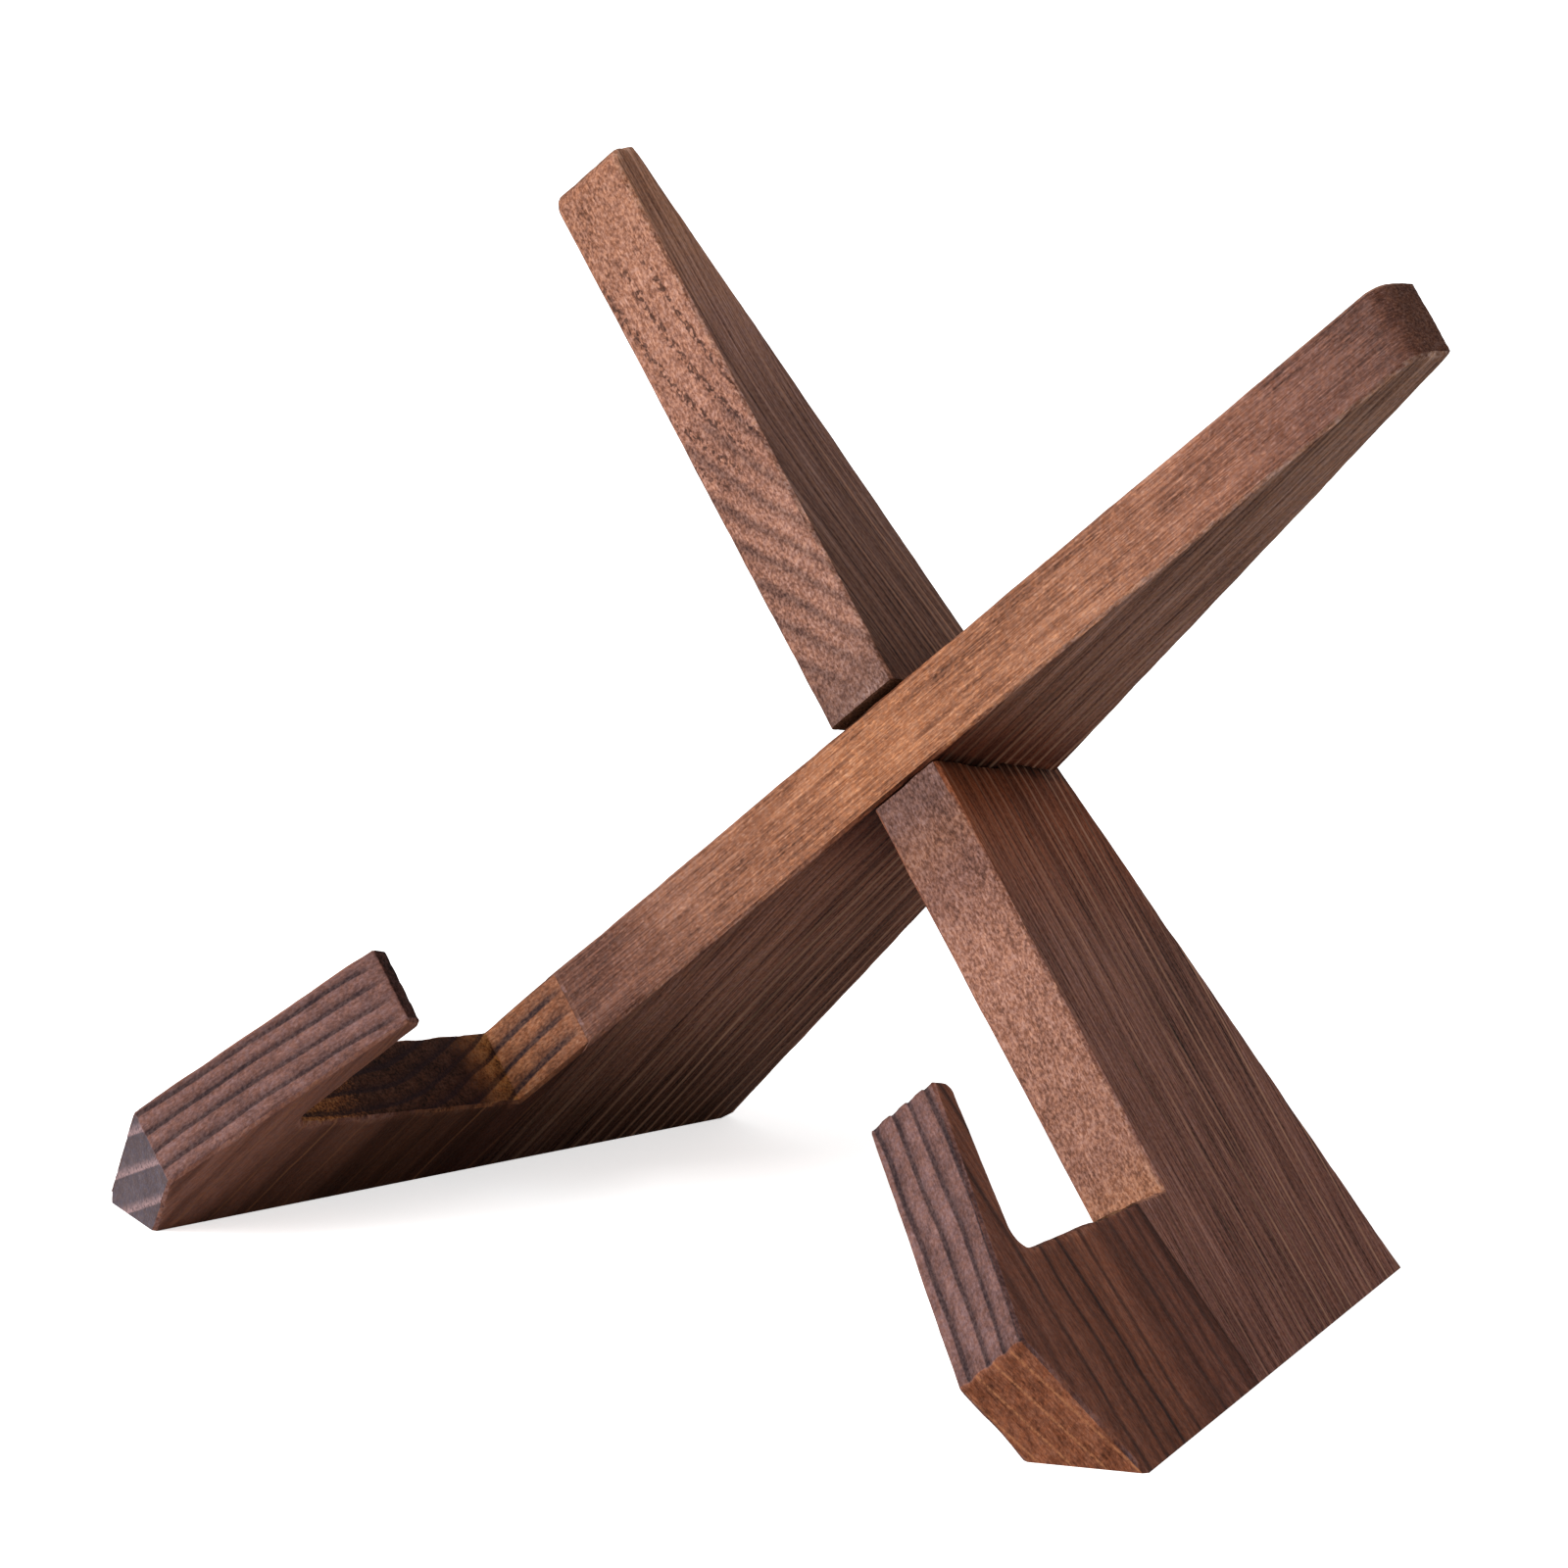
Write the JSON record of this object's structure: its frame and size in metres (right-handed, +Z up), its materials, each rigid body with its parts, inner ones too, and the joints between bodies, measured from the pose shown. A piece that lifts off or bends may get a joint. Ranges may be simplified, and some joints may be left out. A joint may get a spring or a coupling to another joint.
{
  "type": "plate display stand",
  "caption": "Slot-together wooden stand: two tapered boards cross in an X, lean back, and end in flat-cut feet with ledges and upturned hooks that hold a plate or an open book.",
  "frame": {"origin": "on the surface the feet stand on, under the centre of the stand's bounding box", "axes": "+Z up, +X to the viewer's right along the stand's width, +Y to the back; a plate or book leans on the side that faces -Y"},
  "size_m": [0.2984, 0.171, 0.2273],
  "materials": {
    "stained_pine": "walnut-brown stain rubbed into open-grained pine, satin"
  },
  "bodies": {
    "right_board": {"right_board_spine_stave": "stained_pine", "right_board_hook_stave": "stained_pine"},
    "left_board": {"left_board_spine_stave": "stained_pine", "left_board_hook_stave": "stained_pine"}
  },
  "joints": [
    {"name": "left_board_pull_out", "type": "slide", "parent": "right_board", "child": "left_board", "axis": [0, -0.9598, 0.2807], "range_m": [0, 0.03]}
  ]
}
